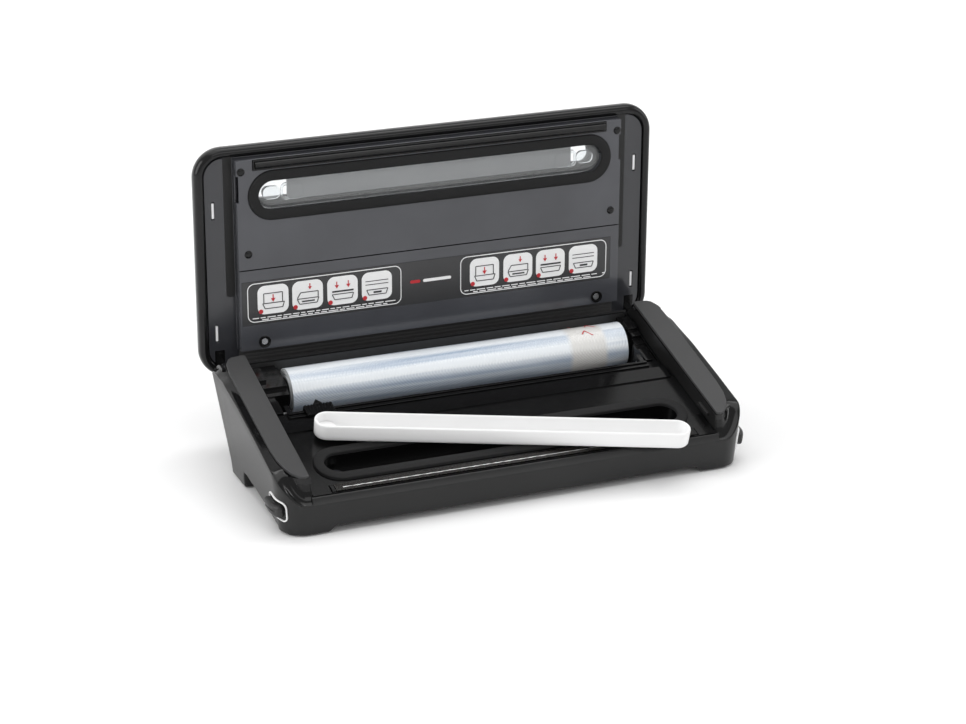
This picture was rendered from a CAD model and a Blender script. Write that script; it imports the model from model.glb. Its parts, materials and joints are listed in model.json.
import json
import math
import random

import bmesh
import bpy
from mathutils import Matrix, Vector
from mathutils.geometry import tessellate_polygon


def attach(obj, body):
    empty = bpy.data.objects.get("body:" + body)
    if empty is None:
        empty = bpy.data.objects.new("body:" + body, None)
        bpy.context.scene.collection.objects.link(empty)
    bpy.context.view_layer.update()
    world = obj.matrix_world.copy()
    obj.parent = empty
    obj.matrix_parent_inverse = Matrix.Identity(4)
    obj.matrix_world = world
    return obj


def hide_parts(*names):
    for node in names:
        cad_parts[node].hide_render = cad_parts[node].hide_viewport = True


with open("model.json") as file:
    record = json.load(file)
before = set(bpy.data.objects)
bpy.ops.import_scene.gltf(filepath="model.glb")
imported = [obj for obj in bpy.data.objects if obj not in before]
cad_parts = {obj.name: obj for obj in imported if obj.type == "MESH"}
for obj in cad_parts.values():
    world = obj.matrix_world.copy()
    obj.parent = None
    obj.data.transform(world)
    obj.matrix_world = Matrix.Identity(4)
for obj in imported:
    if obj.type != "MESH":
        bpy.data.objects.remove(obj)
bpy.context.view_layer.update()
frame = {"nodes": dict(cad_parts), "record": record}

MM = 0.001
HY, HZ = 78.3, 69.0
TILT = math.radians(14.7)
OPEN = math.radians(14.7 - 104)
NODES = frame["nodes"]
BODY_OF = {n: b for b, group in frame["record"]["behaviour"]["bodies"].items() for n in group}
SLOT_OF = {s["node"]: s.get("material_slot") for s in frame["record"]["subparts"]}


# ---------- places and outlines, in millimetres ----------

def turned(x, u, n, angle):
    """Point x across, u forward of the hinge axis and n above it, in a plane tilted by angle."""
    c, s = math.cos(angle), math.sin(angle)
    return Vector((x, HY - u * c - n * s, HZ - u * s + n * c))


def deck(x, u, n):
    return turned(x, u, n, TILT)


def lid(x, u, n):
    return turned(x, u, n, OPEN)


def rrect(w, d, r, inset=0.0, cx=0.0, cu=0.0, seg=8):
    """Rounded rectangle, seg + 1 points to a corner."""
    r = max(r - inset, 0.2)
    hw, hd = w / 2 - inset - r, d / 2 - inset - r
    pts = []
    for k, (sx, sy) in enumerate(((1, 1), (-1, 1), (-1, -1), (1, -1))):
        for i in range(seg + 1):
            a = math.pi / 2 * (k + i / seg)
            pts.append((cx + sx * hw + r * math.cos(a), cu + sy * hd + r * math.sin(a)))
    return pts


def stadium(length, width, inset=0.0, cx=0.0, cu=0.0, seg=14):
    return rrect(length, width, width / 2 - 0.01, inset, cx, cu, seg)


def circle(r, cx=0.0, cu=0.0, seg=32):
    return [(cx + r * math.cos(2 * math.pi * i / seg), cu + r * math.sin(2 * math.pi * i / seg))
            for i in range(seg)]


# ---------- meshes ----------

def finish(name, verts, faces, body, slot, mat, bevel=0.0, seg=2, sharp=38):
    """A new piece on its body, with rounded edges or with sharp ones past an angle."""
    me = bpy.data.meshes.new(name)
    me.from_pydata([v * MM for v in verts], [], faces)
    bm = bmesh.new()
    bm.from_mesh(me)
    bmesh.ops.remove_doubles(bm, verts=bm.verts, dist=2e-6)
    bmesh.ops.dissolve_degenerate(bm, edges=bm.edges, dist=1e-6)
    bmesh.ops.recalc_face_normals(bm, faces=bm.faces)
    bm.to_mesh(me)
    bm.free()
    obj = bpy.data.objects.new(name, me)
    bpy.context.scene.collection.objects.link(obj)
    if bevel:
        soften(obj, bevel, seg)
    obj.data.shade_smooth()
    if not bevel:
        obj.data.set_sharp_from_angle(angle=math.radians(sharp))
    obj.data.materials.clear()
    obj.data.materials.append(mat)
    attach(obj, body)
    return obj


def bake(obj):
    """Applies the modifiers to the mesh."""
    bpy.context.view_layer.update()
    evaluated = obj.evaluated_get(bpy.context.evaluated_depsgraph_get())
    me = bpy.data.meshes.new_from_object(evaluated)
    obj.modifiers.clear()
    obj.data = me


def soften(obj, width, seg=2):
    """Rounds every edge that turns by more than 30 degrees."""
    m = obj.modifiers.new("edges", "BEVEL")
    m.width = width * MM
    m.segments = seg
    m.limit_method = "ANGLE"
    m.angle_limit = math.radians(30)
    m.use_clamp_overlap = True
    w = obj.modifiers.new("normals", "WEIGHTED_NORMAL")
    w.keep_sharp = True
    obj.data.shade_smooth()
    bake(obj)


def loft(rings, closed=False, caps=True):
    """Vertices and faces of a skin over rings of equal length."""
    count, verts, faces = len(rings[0]), [], []
    for ring in rings:
        verts += list(ring)
    spans = len(rings) if closed else len(rings) - 1
    for k in range(spans):
        a, b = k * count, ((k + 1) % len(rings)) * count
        for i in range(count):
            j = (i + 1) % count
            faces.append((a + i, a + j, b + j, b + i))
    if caps and not closed:
        for start in (0, (len(rings) - 1) * count):
            for tri in tessellate_polygon([[verts[start + i] for i in range(count)]]):
                faces.append(tuple(start + i for i in tri))
    return verts, faces


def plate(outline, n0, n1, at, holes=()):
    """A flat plate with holes, between two levels."""
    loops = [outline] + list(holes)
    flat = [Vector((p[0], p[1], 0)) for loop in loops for p in loop]
    tris = tessellate_polygon([[Vector((p[0], p[1], 0)) for p in loop] for loop in loops])
    verts = [at(p.x, p.y, n0) for p in flat] + [at(p.x, p.y, n1) for p in flat]
    total, faces, start = len(flat), [], 0
    for tri in tris:
        faces.append(tuple(tri))
        faces.append(tuple(total + i for i in tri))
    for loop in loops:
        for i in range(len(loop)):
            a, b = start + i, start + (i + 1) % len(loop)
            faces.append((a, b, total + b, total + a))
        start += len(loop)
    return verts, faces


def merged(*parts):
    verts, faces = [], []
    for v, f in parts:
        shift = len(verts)
        verts += list(v)
        faces += [tuple(i + shift for i in face) for face in f]
    return verts, faces


def soft_copy(node, width, mat, seg=2):
    """A new piece with the node's shape and rounded edges."""
    src = NODES[node]
    me = src.data.copy()
    me.materials.clear()
    obj = bpy.data.objects.new(node + "_body", me)
    bpy.context.scene.collection.objects.link(obj)
    bm = bmesh.new()
    bm.from_mesh(me)
    bmesh.ops.remove_doubles(bm, verts=bm.verts, dist=2e-6)
    bmesh.ops.dissolve_limit(bm, angle_limit=math.radians(1.0), verts=bm.verts, edges=bm.edges)
    bm.to_mesh(me)
    bm.free()
    soften(obj, width, seg)
    obj.data.materials.clear()
    obj.data.materials.append(mat)
    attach(obj, BODY_OF[node])
    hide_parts(node)
    return obj


# ---------- materials ----------

def material(name, color, rough, grain=900.0, bump=0.02, tint=0.12, coat=0.0, coat_rough=0.05,
             metal=0.0, ior=1.5, rough_spread=0.06, stretch=(1, 1, 1), trans=0.0,
             fleck=0.0, bump_dist=0.0002, streak=None, spec=None):
    """Principled material with broad noise in its colour and fine noise in its roughness and bump."""
    mat = bpy.data.materials.new(name)
    mat.use_nodes = True
    t = mat.node_tree
    nodes, links = t.nodes, t.links
    b = nodes["Principled BSDF"]
    b.inputs["Metallic"].default_value = metal
    b.inputs["IOR"].default_value = ior
    b.inputs["Coat Weight"].default_value = coat
    b.inputs["Coat Roughness"].default_value = coat_rough
    b.inputs["Transmission Weight"].default_value = trans
    if spec is not None:
        b.inputs["Specular IOR Level"].default_value = spec
    coord = nodes.new("ShaderNodeTexCoord")
    mapping = nodes.new("ShaderNodeMapping")
    mapping.inputs["Scale"].default_value = stretch
    links.new(coord.outputs["Object"], mapping.inputs["Vector"])
    broad = nodes.new("ShaderNodeTexNoise")
    broad.inputs["Scale"].default_value = streak or 14.0
    broad.inputs["Detail"].default_value = 3.0
    fine = nodes.new("ShaderNodeTexNoise")
    fine.inputs["Scale"].default_value = grain
    fine.inputs["Detail"].default_value = 2.0
    for n in (broad, fine):
        links.new(mapping.outputs["Vector"], n.inputs["Vector"])
    ramp = nodes.new("ShaderNodeValToRGB")
    low = [c * (1 - tint) for c in color]
    high = [min(1.0, c * (1 + tint)) for c in color]
    ramp.color_ramp.elements[0].position = 0.3
    ramp.color_ramp.elements[0].color = (*low, 1)
    ramp.color_ramp.elements[1].position = 0.7
    ramp.color_ramp.elements[1].color = (*high, 1)
    links.new(broad.outputs["Fac"], ramp.inputs["Fac"])
    out = ramp.outputs["Color"]
    if fleck:
        mix = nodes.new("ShaderNodeMix")
        mix.data_type = "RGBA"
        mix.blend_type = "MULTIPLY"
        mix.inputs["Factor"].default_value = fleck
        links.new(out, mix.inputs["A"])
        spots = nodes.new("ShaderNodeValToRGB")
        spots.color_ramp.elements[0].position = 0.38
        spots.color_ramp.elements[0].color = (0.35, 0.35, 0.35, 1)
        spots.color_ramp.elements[1].position = 0.6
        spots.color_ramp.elements[1].color = (1, 1, 1, 1)
        links.new(fine.outputs["Fac"], spots.inputs["Fac"])
        links.new(spots.outputs["Color"], mix.inputs["B"])
        out = mix.outputs["Result"]
    links.new(out, b.inputs["Base Color"])
    span = nodes.new("ShaderNodeMapRange")
    span.inputs["To Min"].default_value = max(0.02, rough - rough_spread)
    span.inputs["To Max"].default_value = min(1.0, rough + rough_spread)
    links.new(fine.outputs["Fac"], span.inputs["Value"])
    links.new(span.outputs["Result"], b.inputs["Roughness"])
    if bump:
        bp = nodes.new("ShaderNodeBump")
        bp.inputs["Strength"].default_value = bump
        bp.inputs["Distance"].default_value = bump_dist
        links.new(fine.outputs["Fac"], bp.inputs["Height"])
        links.new(bp.outputs["Normal"], b.inputs["Normal"])
    return mat


M = {
    "gloss_black": material("gloss_black_plastic", (0.005, 0.005, 0.0052), 0.11, bump=0.03,
                            rough_spread=0.03, grain=700, spec=0.3),
    "lid_black": material("lid_rim_black", (0.006, 0.006, 0.0063), 0.16, bump=0.03,
                          rough_spread=0.04, grain=700, spec=0.32),
    "deck_black": material("deck_black_plastic", (0.0045, 0.0045, 0.0047), 0.18, spec=0.32, bump=0.04,
                           rough_spread=0.05, grain=800),
    "matte_black": material("matte_black_plastic", (0.014, 0.014, 0.0143), 0.42, bump=0.12,
                            grain=1500, rough_spread=0.06),
    "shell": material("base_satin_black", (0.012, 0.012, 0.0122), 0.32, bump=0.10, grain=1600,
                      rough_spread=0.06, spec=0.34),
    "dark_grey": material("shoulder_matte_grey", (0.042, 0.042, 0.043), 0.6, bump=0.22,
                          grain=1700, rough_spread=0.08, fleck=0.15),
    "panel_grey": material("lid_panel_grey", (0.062, 0.064, 0.073), 0.13, bump=0.02, grain=500,
                           rough_spread=0.03, ior=1.55),
    "white_plastic": material("white_plastic", (0.9, 0.9, 0.9), 0.34, bump=0.05, tint=0.015,
                              grain=900, rough_spread=0.05),
    "rubber": material("black_rubber", (0.006, 0.006, 0.006), 0.6, bump=0.25, grain=1200),
    "foam": material("closed_cell_foam", (0.017, 0.017, 0.0174), 0.85, bump=0.6, grain=2200,
                     bump_dist=0.0004, fleck=0.5, spec=0.3),
    "silicone": material("black_silicone", (0.006, 0.006, 0.0062), 0.34, bump=0.015, grain=500, spec=0.35),
    "steel": material("brushed_steel", (0.6, 0.6, 0.61), 0.28, bump=0.12, metal=1.0, grain=300,
                      stretch=(0.08, 1, 1)),
    "bright_tab": material("bright_tab", (0.86, 0.86, 0.87), 0.2, bump=0.05, tint=0.03,
                           grain=500),
    "heater": material("heating_ribbon", (0.72, 0.72, 0.72), 0.25, bump=0.3, metal=1.0,
                       grain=160, stretch=(0.3, 1, 1)),
    "brass": material("brass_terminal", (0.72, 0.55, 0.26), 0.3, metal=1.0, bump=0.06),
    "copper": material("copper_winding", (0.6, 0.26, 0.12), 0.35, metal=1.0, bump=0.5,
                       grain=400, stretch=(1, 1, 4)),
    "frame_grey": material("lid_frame_gloss", (0.034, 0.035, 0.040), 0.14, bump=0.02, grain=500,
                           rough_spread=0.03, ior=1.55),
    "bay_grey": material("film_bay_matte", (0.036, 0.036, 0.0365), 0.55, bump=0.15, grain=1500,
                         rough_spread=0.06, stretch=(0.4, 1, 1)),
    "cardboard": material("core_cardboard", (0.42, 0.31, 0.2), 0.85, bump=0.3, grain=500,
                          fleck=0.3),
    "hose": material("hose_silicone", (0.6, 0.63, 0.64), 0.35, bump=0.04, trans=0.2),
    "board": material("circuit_board", (0.02, 0.1, 0.045), 0.35, bump=0.2, grain=350, tint=0.25),
    "components": material("component_black", (0.03, 0.03, 0.034), 0.5, bump=0.1),
    "iron": material("transformer_iron", (0.2, 0.2, 0.21), 0.45, metal=0.7, bump=0.4, grain=500,
                     stretch=(1, 1, 6)),
    "key_grey": material("key_grey_plastic", (0.3, 0.31, 0.32), 0.4, bump=0.1, grain=1200),
    "lens_red": material("indicator_red", (0.5, 0.02, 0.02), 0.12, bump=0.02, trans=0.3),
    "label": material("label_film", (0.036, 0.036, 0.038), 0.2, bump=0.04, grain=600,
                      rough_spread=0.04),
    "bush": material("hinge_bush_nylon", (0.62, 0.58, 0.5), 0.5, bump=0.08),
    "print_white": material("print_white", (0.95, 0.95, 0.95), 0.4, bump=0.05, tint=0.03),
    "print_red": material("print_red", (0.55, 0.02, 0.03), 0.4, bump=0.05, tint=0.08),
    "print_dark": material("print_dark", (0.03, 0.03, 0.032), 0.45, bump=0.05),
    "clear": material("clear_window", (0.93, 0.95, 0.96), 0.05, bump=0.06, trans=0.92,
                      tint=0.02, rough_spread=0.03, ior=1.46, grain=200, bump_dist=0.0004),
    "frost": material("frosted_window_bar", (0.40, 0.40, 0.405), 0.3, bump=0.08, trans=0.2,
                      tint=0.05, grain=90),
}
M["film_end"] = material("film_roll_end", (0.74, 0.76, 0.77), 0.4, bump=0.35, grain=300,
                         tint=0.06, stretch=(4, 1, 1))


def film_material():
    """Embossed film: fine diagonal weave, long streaks and a paler printed zone."""
    mat = material("embossed_film", (0.62, 0.70, 0.80), 0.16, bump=0.0, grain=60,
                   stretch=(0.03, 1, 1), streak=85.0, tint=0.30, coat=0.5, coat_rough=0.1)
    t = mat.node_tree
    ramp = [n for n in t.nodes if n.type == "VALTORGB"][0].color_ramp
    ramp.elements[0].position, ramp.elements[0].color = 0.36, (0.36, 0.45, 0.58, 1)
    ramp.elements[1].position, ramp.elements[1].color = 0.60, (0.90, 0.94, 0.98, 1)
    nodes, links = t.nodes, t.links
    coord = [n for n in nodes if n.type == "TEX_COORD"][0]
    waves = []
    for turn in (0.85, -0.85):
        mp = nodes.new("ShaderNodeMapping")
        mp.inputs["Rotation"].default_value = (0, turn, turn)
        w = nodes.new("ShaderNodeTexWave")
        w.inputs["Scale"].default_value = 260
        w.inputs["Distortion"].default_value = 0.4
        links.new(coord.outputs["Object"], mp.inputs["Vector"])
        links.new(mp.outputs["Vector"], w.inputs["Vector"])
        waves.append(w)
    both = nodes.new("ShaderNodeMath")
    both.operation = "ADD"
    links.new(waves[0].outputs["Fac"], both.inputs[0])
    links.new(waves[1].outputs["Fac"], both.inputs[1])
    bp = nodes.new("ShaderNodeBump")
    bp.inputs["Strength"].default_value = 0.45
    bp.inputs["Distance"].default_value = 0.0004
    links.new(both.outputs[0], bp.inputs["Height"])
    b = nodes["Principled BSDF"]
    links.new(bp.outputs["Normal"], b.inputs["Normal"])
    # paler zone of the printed layer under the outer turn
    split = nodes.new("ShaderNodeSeparateXYZ")
    links.new(coord.outputs["Object"], split.inputs["Vector"])
    zone = nodes.new("ShaderNodeMapRange")
    zone.inputs["From Min"].default_value = 0.102
    zone.inputs["From Max"].default_value = 0.107
    links.new(split.outputs["X"], zone.inputs["Value"])
    end = nodes.new("ShaderNodeMapRange")
    end.inputs["From Min"].default_value = 0.139
    end.inputs["From Max"].default_value = 0.135
    links.new(split.outputs["X"], end.inputs["Value"])
    both_zone = nodes.new("ShaderNodeMath")
    both_zone.operation = "MULTIPLY"
    links.new(zone.outputs["Result"], both_zone.inputs[0])
    links.new(end.outputs["Result"], both_zone.inputs[1])
    mix = nodes.new("ShaderNodeMix")
    mix.data_type = "RGBA"
    mix.inputs["B"].default_value = (0.80, 0.79, 0.77, 1)
    link = [l for l in links if l.to_socket == b.inputs["Base Color"]][0]
    source = link.from_socket
    links.new(source, mix.inputs["A"])
    links.new(both_zone.outputs[0], mix.inputs["Factor"])
    links.new(mix.outputs["Result"], b.inputs["Base Color"])
    return mat


M["film"] = film_material()


def tape_material():
    """Thin brownish sheet that lets the ribbon under it show."""
    mat = material("nonstick_sheet", (0.016, 0.014, 0.012), 0.2, bump=0.5, grain=70,
                   stretch=(0.4, 1, 1), bump_dist=0.0005)
    t = mat.node_tree
    clear = t.nodes.new("ShaderNodeBsdfTransparent")
    mix = t.nodes.new("ShaderNodeMixShader")
    mix.inputs[0].default_value = 0.3
    out = [n for n in t.nodes if n.type == "OUTPUT_MATERIAL"][0]
    t.links.new(t.nodes["Principled BSDF"].outputs[0], mix.inputs[1])
    t.links.new(clear.outputs[0], mix.inputs[2])
    t.links.new(mix.outputs[0], out.inputs["Surface"])
    return mat


M["ptfe"] = tape_material()

# ---------- materials of the CAD nodes ----------

# nodes that stay visible and whose look differs from their slot's
LOOK = {"suction_nozzle": "frame_grey", "film_core": "film_end", "sealing_bar": "deck_black"}
for name, node in NODES.items():
    key = LOOK.get(name) or SLOT_OF[name]
    node.data.materials.clear()
    node.data.materials.append(M[key])


# ---------- base shell ----------

def deck_z(y, n):
    """Height at depth y of the plane n above the hinge axis."""
    u = (HY - y - n * math.sin(TILT)) / math.cos(TILT)
    return HZ - u * math.sin(TILT) + n * math.cos(TILT)


def lerp_table(table, v):
    """Value at v, eased between the rows of a table."""
    if v <= table[0][0]:
        return table[0][1]
    for (a, fa), (b, fb) in zip(table, table[1:]):
        if v <= b:
            k = (v - a) / (b - a)
            k = k * k * (3 - 2 * k)
            return fa + (fb - fa) * k
    return table[-1][1]


# outline of the right shoulder cover (x, u), and its two levels
COVER = [(172.9, 170.4), (176, 171.4), (180.6, 169.4), (185.4, 163.6), (188.6, 156), (191, 146),
         (192.2, 132), (192.6, 100), (192.6, 40), (192.4, 24), (191.2, 13), (188.4, 7.6), (184.4, 5.0),
         (178, 4.2), (173.6, 4.6), (172.9, 5.4)]
COVER_LOW, COVER_TOP = 20.8, 23.4
# lower edge of the wall: height by depth y at the side, by distance from the middle at the front
SIDE_BOTTOM = [(-100, 1.2), (-84, 1.6), (-75, 4.0), (-60, 7.0), (-42, 9.5), (0, 13.2), (17, 14.8),
               (25, 14.4), (35, 1.0), (46, 0.9)]
FRONT_BOTTOM = [(0, 5.6), (152, 5.6), (160, 1.2), (180, 0.8)]
# ridge of the wall and seat of the cover: distance above the hinge plane by depth y
RIDGE_N = [(-60, 21.0), (0, 20.3), (40, 18.2), (60, 14.6), (70, 11.0), (79.3, 6.0)]
SEAT_N = [(-100, 21.2), (56, 21.2), (66, 18.6), (73.8, 12.0), (80, 7.5)]
# slope from the ridge up to the seat: share of the run, share of the rise
RAMP = [(0.0, 0.0), (0.22, 0.04), (0.45, 0.12), (0.66, 0.27), (0.83, 0.5), (0.94, 0.76), (1.0, 1.0)]
# back edge of the rear cheek (u, n)
CHEEK = [(14.5, -10), (14.5, 20.0), (8, 19.0), (3.5, 16.4), (0, 12.4), (-3, 7.5), (-5.6, 4), (-6.2, 0),
         (-5, -4.5)]
FRONT_RIDGE, WALL_LEVEL = 26.4, 17.0
SIDE_X, FRONT_Y, REAR_Y = 199, -100, 79.3
CORNER_X, CORNER_Y, CORNER_R = 177, -78, 22


def ridge_lean(part, along, y):
    """Height of the outer ridge and the inward lean of the wall under it."""
    if part == "front":
        return FRONT_RIDGE, 2.2
    yy = min(y, REAR_Y)
    shoulder = deck_z(yy, lerp_table(RIDGE_N, yy))
    if part == "corner":
        k = along * along * (3 - 2 * along)
        return shoulder + (FRONT_RIDGE - shoulder) * k ** 1.2, 5.0 + (2.2 - 5.0) * along
    return shoulder, 5.0


def base_profile(x, y, nx, ny, part, along):
    """Closed profile of the wall at one station of the outline; part is back, side, corner or front."""
    ridge, lean = ridge_lean(part, along, y)
    notch = part == "back" and 179 < abs(x) < 189
    if notch:
        ridge = 60.5
    if part == "front":
        bottom = lerp_table(FRONT_BOTTOM, abs(x))
        top = [(2.2, 30.9), (2.6, 31.2), (3.0, 31.5), (3.4, 31.6), (3.8, 31.6), (4.4, 31.5), (4.9, 31.35),
               (5.2, 31.2), (5.2, 26.0)]
        inner = 3.6
    else:
        yy = min(y, REAR_Y)
        bottom = lerp_table(SIDE_BOTTOM, y)
        run = 6.0
        if part == "corner":
            bottom = min(bottom, 1.4)
            run = 6.0 + 3.2 * math.sin(math.pi * along)
        level = max(ridge + 0.7, 0 if notch else deck_z(max(yy, -91.6), lerp_table(SEAT_N, y)))
        under = 2.8
        if part == "back":
            run, under = 2.0, 0.6
        bend = min(1.0, 0.25 + 2 * along) if part == "corner" else 0.25
        rise = level - ridge - 0.6
        top = [(1.0 + run * f, ridge + 0.6 + rise * (f + (g - f) * bend)) for f, g in RAMP]
        top += [(1.0 + under + run, level), (1.0 + under + run, ridge - 3)]
        inner = 7.0
    pts = []

    def add(inset, z):
        # the rear edge leans back with height
        px, py = x - nx * inset, y - ny * inset
        if part in ("back", "side") and y > -60:
            lean_back = (42.3 + 0.493 * z) - REAR_Y
            share = (y + 60) / (REAR_Y + 60)
            py += lean_back * share
        pts.append(Vector((px, py, z)))

    def wall(z):
        return lean * (ridge - z) / (ridge - 1)
    add(inner + lean, bottom)
    add(wall(bottom) + 1.0, bottom)
    add(wall(bottom) + 0.2, bottom + 0.5)
    lowest = bottom + 1.2
    add(wall(lowest), lowest)
    add(wall((lowest + WALL_LEVEL) / 2), (lowest + WALL_LEVEL) / 2)
    for f in (0.0, 0.3, 0.6, 0.85):
        z = WALL_LEVEL + (ridge - 0.9 - WALL_LEVEL) * f
        add(wall(z), z)
    add(0.02, ridge - 0.7)
    add(0.16, ridge - 0.1)
    add(0.5, ridge + 0.35)
    for inset, z in top:
        add(inset, z)
    return pts


def base_stations():
    """Stations round the base: x, y, outward normal, part and share of the corner."""
    left = []
    for x in (-173, -178.5, -179.1, -188.9, -189.5, -193.5):
        left.append((x, REAR_Y, 0, 1, "back", 0))
    for i in range(1, 6):
        a = math.radians(90 + 15 * i)
        c, s = math.cos(a), math.sin(a)
        left.append((-193.5 + 5.5 * c, REAR_Y - 5.5 + 5.5 * s, c, s, "back", 0))
    for y in [73.8, 70, 66, 62, 58, 54, 50, 46, 43, 40, 37, 35] + [34 - 0.6 * i for i in range(18)] + [
            22.5 - 3.35 * i for i in range(31)]:
        left.append((-SIDE_X, y, -1, 0, "side", 0))
    for i in range(1, 25):
        a = math.radians(180 + 90 * i / 24)
        c, s = math.cos(a), math.sin(a)
        left.append((-CORNER_X + CORNER_R * c, CORNER_Y + CORNER_R * s, c, s, "corner", i / 24))
    left.append((-172.7, FRONT_Y, 0, -1, "corner", 1.0))
    fronts = [-172.5, -168, -165, -160, -158, -156, -154, -152] + [-152 + 152 * i / 14 for i in range(1, 14)]
    left += [(x, FRONT_Y, 0, -1, "front", 0) for x in fronts]
    right = [(-x, y, -nx, ny, p, k) for x, y, nx, ny, p, k in reversed(left)]
    return left + [(0, FRONT_Y, 0, -1, "front", 0)] + right


def build_base():
    rings = [base_profile(*s) for s in base_stations()]
    parts = [loft(rings)]
    ramp = [(-99 + 6.0 * f, 27 + (46.4 - 27) * g) for f, g in RAMP]
    rear_low, rear_high = deck(0, 14, -10), deck(0, 14, 20.9)
    for side in (-1, 1):
        def at(a, b, c, side=side):
            # a is depth y, b is height z, c is the distance from the middle
            return Vector((side * c, a, b))
        # inner wall of the shoulder with the end of the ramp
        outline = [(-98.6, 8)] + ramp
        outline += [(rear_high.y, rear_high.z), (rear_low.y, rear_low.z), (40, 20), (34, 8)]
        parts.append(plate(outline, 171.7, 173.4, at))
        # seat of the cover
        seat = [(side * (182.5 + (x - 182.5) * 0.86), 88 + (u - 88) * 0.98) for x, u in COVER]
        parts.append(plate(seat, 4, 20.9, deck))
        # rear cheeks beside the hinge lug
        for c0, c1 in ((171.7, 178.0), (189.6, 195.0)):
            rear = [deck(0, u, n) for u, n in CHEEK]
            pts = [(p.y, p.z) for p in rear] + [(66, 48), (58, 40)]
            parts.append(plate(pts, c0, c1, at))
        # rear foot
        foot = [(34.8, 1.0), (43.4, 1.0), (52, 20), (22, 20), (26.5, 14.2), (30, 8)]
        parts.append(plate(foot, 184.5, 193.6, at))
    return merged(*parts)


def paint_ridge(obj):
    """Glossy faces on the slope between the ridge and the shoulder cover."""
    obj.data.materials.append(M["gloss_black"])
    for poly in obj.data.polygons:
        c = poly.center / MM
        if abs(c.x) > 171.6 and 26.9 < c.z < 90 and poly.normal.z > 0.12:
            poly.material_index = 1


base = finish("base_shell_body", *build_base(), "base", "matte_black", M["shell"], sharp=50)
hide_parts("base_shell")
paint_ridge(base)

# bottom cover: set in from the side arches, with a row of vent slots
slots = [rrect(5, 46, 2, 0, x, -18.7, 3) for x in range(-110, 111, 12)]


def on_floor(x, y, z):
    return Vector((x, y, z))


cover = finish("bottom_cover_body", *plate(rrect(350, 132, 12, 0, 0, -27), 4.0, 6.0, on_floor, slots),
               "base", "matte_black", M["matte_black"], bevel=0.3)
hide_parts("bottom_cover")


def clip_copy(node, name, lo, hi, mat):
    """The part of a node's shape inside a box, as a closed piece."""
    me = NODES[node].data.copy()
    me.materials.clear()
    obj = bpy.data.objects.new(name, me)
    bpy.context.scene.collection.objects.link(obj)
    bm = bmesh.new()
    bm.from_mesh(me)
    bmesh.ops.remove_doubles(bm, verts=bm.verts, dist=2e-6)
    bm.to_mesh(me)
    bm.free()
    tool_me = bpy.data.meshes.new("tool")
    bm = bmesh.new()
    bmesh.ops.create_cube(bm, size=1.0)
    for v in bm.verts:
        v.co = Vector([lo[i] * MM if v.co[i] < 0 else hi[i] * MM for i in range(3)])
    bm.to_mesh(tool_me)
    bm.free()
    tool = bpy.data.objects.new("tool", tool_me)
    bpy.context.scene.collection.objects.link(tool)
    m = obj.modifiers.new("cut", "BOOLEAN")
    m.operation, m.object, m.solver = "INTERSECT", tool, "EXACT"
    bake(obj)
    bpy.data.objects.remove(tool)
    soften(obj, 0.4, 2)
    obj.data.materials.clear()
    obj.data.materials.append(mat)
    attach(obj, BODY_OF[node])
    return obj


clip_copy("base_shell", "base_rear_panel", (-171.5, -40, 1), (171.5, 120, 95), M["shell"])


# ---------- shoulder covers ----------

for side, node in ((-1, "left_shoulder_cover"), (1, "right_shoulder_cover")):
    outline = [(side * x, u) for x, u in COVER]
    cover = finish(node + "_body", *plate(outline, COVER_LOW, COVER_TOP, deck), "base", "dark_grey",
                   M["dark_grey"], bevel=0.7, seg=3)
    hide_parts(node)

# ---------- foam seals ----------

# section of the foam band: share of its width, share of its height
SECTION = [(0.0, 0.1), (0.0, 0.72), (0.03, 0.9), (0.1, 1.0), (0.5, 1.02), (0.9, 1.0), (0.97, 0.9),
           (1.0, 0.72), (1.0, 0.1), (0.96, 0.0), (0.04, 0.0)]


def foam(name, node, at, n0, n1, centre):
    rings = []
    for k, h in SECTION:
        inset = 0.1 + 8.4 * k
        n = n0 + (n1 - n0) * h
        rings.append([at(x, u, n) for x, u in stadium(318.4, 41.4, inset, 0, centre, 18)])
    obj = finish(name, *loft(rings, closed=True), BODY_OF[node], "foam", M["foam"])
    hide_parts(node)


foam("lower_foam_ring", "lower_foam_seal", deck, 7.9, 11.2, 144)
foam("upper_foam_ring", "upper_foam_seal", lid, 14.7, 12.4, 146)

# ---------- tray ----------

TURN = math.radians(-16.1)


def on_tray(a, b, n):
    """Point a along the tray, b across it and n above the deck."""
    x = -3.2 + a * math.cos(TURN) - b * math.sin(TURN)
    y = -146.5 + a * math.sin(TURN) + b * math.cos(TURN)
    return deck(x, -y, n)


# section of the tray's wall from the underside over the rim to the inner floor: inset, level
TRAY = [(2.4, 12.3), (1.0, 12.6), (0.3, 13.6), (0.15, 16.5), (0.0, 25.2), (0.2, 26.0), (0.7, 26.45),
        (1.3, 26.5), (1.8, 26.2), (2.05, 25.5), (2.3, 16.5), (2.8, 14.9), (3.8, 14.1), (5.2, 13.9)]
rings = [[on_tray(a, b, n) for a, b in stadium(300, 21, inset, 0, 0, 16)] for inset, n in TRAY]
step = plate(stadium(15.2, 15.6, 0, -140, 0, 12), 13.7, 18.6, on_tray)
tray = finish("drip_tray_body", *merged(loft(rings), step), "tray", "white_plastic", M["white_plastic"],
              sharp=45)
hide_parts("drip_tray")

# ---------- lid ----------

# section of the lid's rim: inset, level
RIM = [(9.0, 34.4), (7.9, 33.6), (7.6, 32.0), (7.6, 24.2), (7.3, 23.0), (6.4, 22.2), (5.0, 21.9),
       (3.2, 22.1), (1.7, 22.9), (0.7, 24.3), (0.15, 26.4), (0.0, 28.8), (0.3, 31.4), (1.2, 33.6),
       (2.8, 35.4), (5.2, 36.5), (8.5, 37.0), (13.0, 37.2)]


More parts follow.
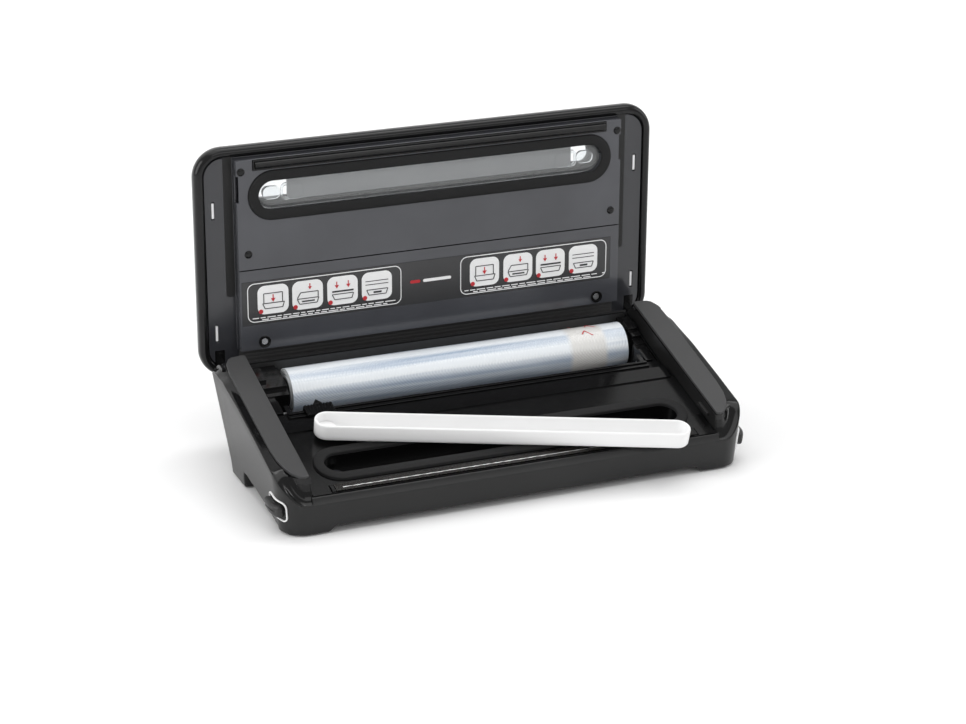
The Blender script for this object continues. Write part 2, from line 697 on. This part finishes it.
def build_lid():
    def outline(inset):
        return rrect(402, 194.6, 24, inset, 0, 88.7, 16)
    rings = [[lid(x, u, n) for x, u in outline(inset)] for inset, n in RIM]
    verts, faces = loft(rings, caps=False)
    holes = [stadium(292, 15, 0, 0, 146, 12), rrect(92, 30, 8, 0, 110, 100, 8)]
    hole_starts = []
    for inset, level, start in ((*RIM[0], 0), (*RIM[-1], (len(RIM) - 1) * len(rings[0]))):
        loops = [outline(inset)] + holes
        tris = tessellate_polygon([[Vector((x, u, 0)) for x, u in loop] for loop in loops])
        count, first = len(rings[0]), len(verts)
        for loop in holes:
            verts += [lid(x, u, level) for x, u in loop]
        for tri in tris:
            faces.append(tuple(start + i if i < count else first + i - count for i in tri))
        hole_starts.append(first)
    (low, high), start = hole_starts, 0
    for loop in holes:
        for i in range(len(loop)):
            a, b = start + i, start + (i + 1) % len(loop)
            faces.append((low + a, low + b, high + b, high + a))
        start += len(loop)
    parts = [(verts, faces)]
    # hinge lugs
    lug = [(8, 24.5), (-14.2, 24.5), (-14.2, 23.7), (-4.0, 23.7), (-4.4, 12)]
    lug += [(6.4 * math.cos(math.radians(a)), 6.4 * math.sin(math.radians(a))) for a in range(160, 381, 10)]
    for side in (-1, 1):
        def at(a, b, c, side=side):
            return lid(side * c, -a, b)
        parts.append(plate(lug, 180.4, 187.6, at, [circle(4.05, 0, 0, 24)]))
    return merged(*parts)


obj = finish("lid_shell_body", *build_lid(), "lid", "gloss_black", M["lid_black"], sharp=45)
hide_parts("lid_shell")
soft_copy("lid_inner_frame", 0.45, M["frame_grey"])
soft_copy("lid_upper_panel", 0.35, M["panel_grey"])
soft_copy("lid_lower_panel", 0.35, M["panel_grey"])
soft_copy("press_strip_holder", 0.35, M["gloss_black"])
soft_copy("cutter_rail", 0.35, M["gloss_black"])
soft_copy("cutter_slider", 0.3, M["gloss_black"])
soft_copy("left_roll_bracket", 0.5, M["gloss_black"])
soft_copy("right_roll_bracket", 0.5, M["gloss_black"])
soft_copy("mains_inlet", 0.4, M["matte_black"])
soft_copy("control_fascia", 0.3, M["gloss_black"])
for key in ("vacuum_key", "seal_key", "stop_key"):
    soft_copy(key, 0.7, M["key_grey"], 3)
soft_copy("catch_tabs", 0.3, M["bright_tab"])
soft_copy("lid_screws", 0.3, M["steel"])
deck_body = soft_copy("deck_plate", 0.4, M["deck_black"])
deck_body.data.materials.append(M["bay_grey"])
for poly in deck_body.data.polygons:
    c = poly.center / MM
    if -(c.y - HY) * math.cos(TILT) - (c.z - HZ) * math.sin(TILT) < 0.5:
        poly.material_index = 1

finish("deck_step", *plate(rrect(336, 15, 1.2, 0, 0, 90), 8.6, 10.2, deck), "base", "gloss_black",
       M["gloss_black"], bevel=0.5)

# matte strip of the lid below the label, ribbed along its length
strip = [(-3.0, 23.9)]
for k in range(6):
    u = -3.0 + 3.0 * k
    strip += [(u, 23.3), (u + 1.1, 23.05), (u + 2.2, 23.05), (u + 2.9, 23.3)]
strip.append((14.9, 23.9))
rings = [[lid(x, u, n) for u, n in strip] for x in (-168, -167, 0, 167, 168)]
finish("lid_hinge_strip", *loft(rings), "lid", "gloss_black", M["bay_grey"], sharp=25)

# release buttons and their rings: both follow the wall round the front corner


def wall_point(side, s, z, out):
    """A point s mm along the wall towards the front, out mm off its surface."""
    straight = 18
    if s < straight:
        y, a, part, along = CORNER_Y + straight - s, math.pi, "side", 0
    else:
        a = math.pi + (s - straight) / CORNER_R
        y, part, along = CORNER_Y + CORNER_R * math.sin(a), "corner", (a - math.pi) / (math.pi / 2)
    ridge, lean = ridge_lean(part, along, y)
    r = CORNER_R - lean * (ridge - z) / (ridge - 1) + out
    x = -CORNER_X + r * math.cos(a)
    if s >= straight:
        y = CORNER_Y + r * math.sin(a)
    return Vector((-side * x, y, z))


CORNER_POINTS = 9


def split(outline, count):
    """A rounded rectangle with every straight run between its corners cut into equal steps."""
    pts = []
    for i, (x0, y0) in enumerate(outline):
        x1, y1 = outline[(i + 1) % len(outline)]
        steps = count if (i + 1) % CORNER_POINTS == 0 else 1
        pts += [(x0 + (x1 - x0) * k / steps, y0 + (y1 - y0) * k / steps) for k in range(steps)]
    return pts


# sections of the ring and of the button: inset, distance off the wall
RING = [(0.0, -1.2), (0.0, 0.7), (0.2, 1.15), (0.6, 1.35), (1.0, 1.15), (1.2, 0.7), (1.2, -1.2)]
BUTTON = [(0.0, -3.0), (0.0, 4.2), (0.3, 5.2), (0.9, 5.9), (1.8, 6.25), (2.9, 6.35), (4.1, 6.4)]
for side, word in ((-1, "left"), (1, "right")):
    def on_wall(s, t, out, side=side):
        return wall_point(side, s, 21.4 - 0.1 * (s - 21) + t, out)
    rings = [[on_wall(s, t, n) for s, t in split(rrect(28.5, 16.8, 4.8, inset, 21.6, 0), 12)]
             for inset, n in RING]
    ring = finish(word + "_button_ring_body", *loft(rings, closed=True), "base", "white_plastic",
                  M["white_plastic"])
    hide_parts(word + "_button_ring")
    rings = []
    for inset, n in BUTTON:
        ring_pts = []
        for s, t in split(rrect(22.6, 9.4, 2.4, inset, 20.4, 0), 12):
            thin = 1.0 - 0.3 * max(0.0, (s - 14) / 18) ** 2
            ring_pts.append(on_wall(s, t, n * thin if n > 0 else n))
        rings.append(ring_pts)
    finish(word + "_release_button", *loft(rings), word + "_lever", "matte_black", M["matte_black"],
           sharp=32)
    lo, hi = ((-196.5, -120, 0), (-150, 0, 80)) if side < 0 else ((150, -120, 0), (196.5, 0, 80))
    lever = clip_copy(word + "_release_lever", word + "_release_lever_body", lo, hi, M["matte_black"])
    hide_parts(word + "_release_lever")

# press strip: a round-topped silicone bar
bar = []
for i in range(13):
    a = math.pi * i / 12
    bar.append((172.5 + 2.6 * math.cos(a), 12.6 - 2.3 * math.sin(a)))
bar += [(169.9, 13.9), (175.1, 13.9)]
rings = [[lid(x, u, n) for u, n in bar] for x in (-153.2, -152.4, 0, 152.4, 153.2)]
press_bar = finish("press_strip_bar", *loft(rings), "lid", "silicone", M["silicone"])
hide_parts("press_strip")

# screw plugs: low domes
parts = []
for side in (-1, 1):
    for x, u in ((165, 167.8), (160.4, 98)):
        rings = [[lid(px, pu, n) for px, pu in circle(r, side * x, u, 28)]
                 for r, n in ((3.3, 13.9), (3.3, 13.5), (3.0, 13.1), (2.3, 12.8), (1.2, 12.62))]
        parts.append(loft(rings))
plugs = finish("screw_plug_caps", *merged(*parts), "lid", "rubber", M["gloss_black"])
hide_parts("screw_plugs")

# bosses around the two lower screws
parts = []
for side in (-1, 1):
    parts.append(plate(circle(5.0, side * 148.7, 21.5), 12.3, 14.2, lid, [circle(3.3, side * 148.7, 21.5)]))
finish("screw_bosses", *merged(*parts), "lid", "gloss_black", M["gloss_black"], bevel=0.3)

# dark channels beside the panels
parts = [plate(rrect(7.4, 122, 2.5, 0, side * 173.2, 121), 23.8, 24.4, lid) for side in (-1, 1)]
finish("lid_side_channels", *merged(*parts), "lid", "gloss_black", M["rubber"], bevel=0.3)

# window: clear lens with a pale bar and two end frames behind it
LENS = [(0.1, 20.4), (0.1, 18.6), (0.6, 17.6), (1.8, 16.8), (3.6, 16.3), (6.0, 16.1)]
rings = [[lid(x, u, n) for x, u in stadium(302.6, 25.6, inset, 0, 146, 14)] for inset, n in LENS]
lens = finish("window_lens", *loft(rings), "lid", "clear", M["clear"])
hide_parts("lid_window")
finish("window_bar", *plate(rrect(250, 20.5, 4, 0, 0, 149.6), 20.7, 21.6, lid), "lid", "clear", M["frost"],
       bevel=0.3)
parts = []
for side in (-1, 1):
    parts.append(plate(rrect(20, 13.6, 4, 0, side * 120, 146), 20.6, 22.4, lid,
                       [rrect(16.4, 10, 2.6, 0, side * 120, 146)]))
    parts.append(plate(rrect(15, 10.5, 5, 0, side * 137.6, 146), 20.8, 23.4, lid))
finish("window_end_frames", *merged(*parts), "lid", "clear", M["clear"], bevel=0.4)

# ---------- printed guide on the label: frames, plain drawings, plain rules ----------


# levels on the lid: the label's face, then the backs and fronts of what is printed on it
LABEL_N, DARK_N, FRAME_N, PANEL_N, FRONT_N = 13.69, 13.6, 13.55, 13.5, 13.3


def stroke(points, width, back=DARK_N):
    """Plates of one width along a run of points."""
    parts = []
    for (x0, u0), (x1, u1) in zip(points, points[1:]):
        dx, du = x1 - x0, u1 - u0
        length = math.hypot(dx, du) or 1
        px, pu = -du / length * width / 2, dx / length * width / 2
        corners = [(x0 + px, u0 + pu), (x1 + px, u1 + pu), (x1 - px, u1 - pu), (x0 - px, u0 - pu)]
        parts.append(plate(corners, FRONT_N, back, lid))
    return parts


def arrow(x, u, dx, du, size=3.2):
    length = math.hypot(dx, du)
    dx, du = dx / length, du / length
    tip = (x + dx * size, u + du * size)
    barbs = [(x - du * size * 0.6, u + dx * size * 0.6), (x + du * size * 0.6, u - dx * size * 0.6)]
    head = plate([tip] + barbs, FRONT_N, PANEL_N, lid)
    return [head] + stroke([(x, u), (x - dx * size, u - du * size)], 0.8, PANEL_N)


white, dark, red = [], [], []
for x0, x1 in ((-162.5, -29.3), (23.3, 157.3)):
    w, cx = x1 - x0, (x0 + x1) / 2
    white.append(plate(rrect(w, 33.6, 6, 0, cx, 55.8), FRAME_N, LABEL_N, lid,
                       [rrect(w - 1.3, 32.3, 5.4, 0, cx, 55.8)]))
centres = [-140.7, -111.1, -80.9, -50.9, 45.1, 75.5, 105.3, 135.7]
for i, cx in enumerate(centres):
    cu = 57.4
    white.append(plate(rrect(26.4, 24.6, 6, 0, cx, cu), PANEL_N, LABEL_N, lid))
    red.append(plate(circle(1.9, cx - 10.6, cu - 9.6, 16), FRONT_N, PANEL_N, lid))
    base_line = [(cx - 9, cu - 3), (cx - 7, cu - 7.5), (cx + 8, cu - 7.5), (cx + 9.5, cu - 3),
                 (cx - 9, cu - 3)]
    dark += stroke(base_line, 0.7)
    kind = i % 4
    if kind == 0:
        dark += stroke([(cx - 8, cu - 2.6), (cx - 8, cu + 5.5), (cx + 8, cu + 5.5), (cx + 8, cu - 2.6)], 0.7)
        red += arrow(cx, cu + 1, 0, -1)
    elif kind == 1:
        dark += stroke([(cx - 9, cu - 2.4), (cx - 6, cu + 2.4), (cx + 9, cu + 2.4), (cx + 9, cu - 2.4)], 0.7)
        dark += stroke([(cx - 5, cu - 5.4), (cx + 6, cu - 5.4)], 1.2)
        red += arrow(cx + 2, cu + 7, 0, -1, 2.6)
    elif kind == 2:
        dark += stroke([(cx - 9, cu - 0.6), (cx + 9.5, cu - 0.6)], 1.4)
        red += arrow(cx - 5, cu + 5, 0, -1, 3.0)
        red += arrow(cx + 5, cu + 5, 0, -1, 3.0)
    else:
        dark += stroke([(cx - 10, cu + 4.6), (cx + 10, cu + 4.6)], 0.6)
        dark += stroke([(cx - 10, cu + 1.6), (cx + 10, cu + 1.6)], 0.6)
        dark += stroke([(cx - 3, cu - 5.4), (cx + 4, cu - 5.4)], 1.6)
rng = random.Random(7)
for x0, x1 in ((-158.5, -33), (27, 153)):
    for row, u in enumerate((42.4, 40.6)):
        x = x0 + row * 8
        while x < x1 - row * 10:
            run = rng.uniform(3.5, 9.5)
            rule = rrect(min(run, x1 - x), 0.75, 0.3, 0, x + run / 2, u, 2)
            white.append(plate(rule, FRAME_N, LABEL_N, lid))
            x += run + 1.3
white.append(plate(rrect(25, 2.6, 1.2, 0, 2.5, 56.5), PANEL_N, LABEL_N, lid))
red.append(plate(rrect(9, 2.6, 1.2, 0, -17, 56.5), PANEL_N, LABEL_N, lid))
for name, parts, key in (("guide_print_white", white, "print_white"), ("guide_print_dark", dark, "print_dark"),
                       ("guide_print_red", red, "print_red")):
    finish(name, *merged(*parts), "lid", "label", M[key], sharp=30)

# ---------- film roll ----------

ROLL_X0, ROLL_X1, ROLL_U, ROLL_N = -141.5, 156.5, 20.5, -7.7
WOUND_R, OUTER_TURN, CORE_R = 19.35, 0.42, 14.1
SEG = 96


def roll_point(x, r, a):
    centre = deck(x, ROLL_U, ROLL_N)
    return centre + Vector((0, math.cos(a) * r, math.sin(a) * r))


def roll_radius(x, i):
    """Radius of the outer turn at column i, slightly uneven and flared at the ends."""
    a = 2 * math.pi * i / SEG
    k = i / SEG
    wave = 0.10 * math.sin(3 * a + x * 0.021)
    wave += 0.07 * math.sin(5 * a - x * 0.013 + 1.3) * math.sin(x * 0.05)
    edge = min(abs(x - ROLL_X0), abs(ROLL_X1 - x))
    flare = 0.12 * math.exp(-edge / 5.0)
    return WOUND_R + OUTER_TURN * k + wave + flare


def build_roll():
    shift = math.radians(-118)
    rings = []
    xs = [ROLL_X0 + (ROLL_X1 - ROLL_X0) * i / 60 for i in range(61)]
    ends = [(15.0, 0.9), (15.6, 0.0), (16.6, 0.5), (17.2, 0.05), (18.3, 0.45), (18.8, 0.0)]
    profile = [(xs[0] + d, r) for r, d in ends] + [(x, None) for x in xs]
    profile += [(xs[-1] - d, r) for r, d in reversed(ends)]
    inner = [(xs[-1] - 1.2, CORE_R), (xs[0] + 1.2, CORE_R)]
    for x, r in profile + inner:
        ring = []
        for i in range(SEG + 1):
            a = shift + 2 * math.pi * i / SEG
            radius = roll_radius(x, i) if r is None else r
            ring.append(roll_point(x, radius, a))
        rings.append(ring)
    # the last column has the first one's angle but lies OUTER_TURN further out: the film's free edge
    return loft(rings, closed=True)


roll = finish("film_roll_body", *build_roll(), "roll", "film", M["film"], sharp=40)
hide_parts("film_roll")
roll.data.materials.append(M["film_end"])
for poly in roll.data.polygons:
    if abs(poly.normal.x) > 0.35:
        poly.material_index = 1

# tick marks printed on the film
MARK_SECTION = ((-0.6, 0), (0.6, 0), (0.6, 0.06), (-0.6, 0.06))
TICK = [((-4, 0.10), (-1, -0.10)), ((-1, -0.10), (5, 0.22))]
SHORT_TICK = [((-2, 0.1), (1, -0.1))]
marks = []
for cx, a0, strokes in ((122, 1.95, TICK), (128, 1.45, TICK), (114, 1.1, SHORT_TICK)):
    for (x0, b0), (x1, b1) in strokes:
        ends = [[roll_point(cx + x + d, 20.02 + e, a0 + b) for d, e in MARK_SECTION]
                for x, b in ((x0, b0), (x1, b1))]
        marks.append(loft(ends))
finish("film_tick_marks", *merged(*marks), "roll", "film", M["print_red"])

# ---------- heating ribbon and nonstick tape with small ripples ----------

# section of the ribbon: share of its half width, level
RIBBON = ((-1, 9.7), (-1, 9.98), (-0.4, 10.05), (0.4, 10.05), (1, 9.98), (1, 9.7))
rings = []
for i in range(147):
    x = -146 + 2 * i
    lift = 0.05 * math.sin(i * 0.9) + 0.05 * math.sin(i * 2.3 + 1)
    half = 0.27 + 0.1 * math.sin(i * 1.3)
    rings.append([deck(x, 173.6 + d * half, n + lift) for d, n in RIBBON])
ribbon = finish("heating_ribbon", *loft(rings), "base", "heater", M["heater"])
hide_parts("heating_strip")

rings = []
for i in range(77):
    x = -152 + 4 * i
    lift = 0.10 * math.sin(i * 1.7) + 0.06 * math.sin(i * 0.63 + 1)
    top = [deck(x, 169 + k * 1.6, 9.86 + 0.08 * (1 - abs(k - 2.5) / 2.5) + lift * (0.3 if 0 < k < 5 else 0))
           for k in range(6)]
    rings.append(top + [deck(x, 177, 9.72), deck(x, 169, 9.72)])
tape = finish("nonstick_sheet", *loft(rings), "base", "ptfe", M["ptfe"])
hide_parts("nonstick_tape")

# ---------- stage, light, camera ----------

FLOOR = material("floor_paper", (0.93, 0.93, 0.93), 0.75, bump=0.03, tint=0.004, grain=300)
verts, faces = [], []
profile = [(-4.0, 0.0), (-1.0, 0.0), (1.2, 0.0)]
for i in range(1, 13):
    a = math.radians(7.5 * i)
    profile.append((1.2 + 1.5 * math.sin(a), 1.5 * (1 - math.cos(a))))
profile.append((2.7, 5.0))
for y, z in profile:
    verts += [Vector((-6, y, z)), Vector((6, y, z))]
for i in range(len(profile) - 1):
    faces.append((2 * i, 2 * i + 1, 2 * i + 3, 2 * i + 2))
me = bpy.data.meshes.new("studio_floor")
me.from_pydata(verts, [], faces)
me.shade_smooth()
floor = bpy.data.objects.new("studio_floor", me)
bpy.context.scene.collection.objects.link(floor)
floor.data.materials.append(FLOOR)

world = bpy.data.worlds.new("studio")
world.use_nodes = True
world.node_tree.nodes["Background"].inputs[0].default_value = (1, 1, 1, 1)
world.node_tree.nodes["Background"].inputs[1].default_value = 0.5
bpy.context.scene.world = world


def area(name, place, aim, size, size_y, power):
    data = bpy.data.lights.new(name, "AREA")
    data.shape = "RECTANGLE"
    data.size, data.size_y, data.energy = size, size_y, power
    obj = bpy.data.objects.new(name, data)
    obj.location = place
    obj.rotation_euler = (Vector(aim) - Vector(place)).to_track_quat("-Z", "Y").to_euler()
    bpy.context.scene.collection.objects.link(obj)
    return obj


area("top_softbox", (0.1, -0.2, 2.2), (0, 0, 0), 2.2, 1.6, 17)
area("left_softbox", (-2.0, -0.1, 0.9), (0, 0, 0.1), 1.6, 1.4, 20)
area("backdrop_light", (0.2, 1.0, 2.6), (0.9, 2.7, 1.0), 3.4, 1.6, 38)
area("right_strip", (2.0, -0.5, 0.9), (0, 0, 0.1), 0.5, 1.5, 9)
area("front_fill", (0.6, -2.4, 1.3), (0, 0, 0.1), 1.8, 1.2, 10)

bpy.context.scene.view_settings.view_transform = "Standard"
camera = bpy.data.cameras.new("camera")
camera.lens = 97.25
camera.sensor_width = 36
camera.clip_end = 50
cam = bpy.data.objects.new("camera", camera)
place = Vector((-0.7335, -1.8341, 0.8319))
forward = Vector((0.3501, 0.8672, -0.3542)).normalized()
right = forward.cross(Vector((0, 0, 1))).normalized()
up = right.cross(forward)
rot = Matrix((right, up, -forward)).transposed()
cam.matrix_world = Matrix.Translation(place) @ rot.to_4x4()
bpy.context.scene.collection.objects.link(cam)
bpy.context.scene.camera = cam

bpy.context.view_layer.update()
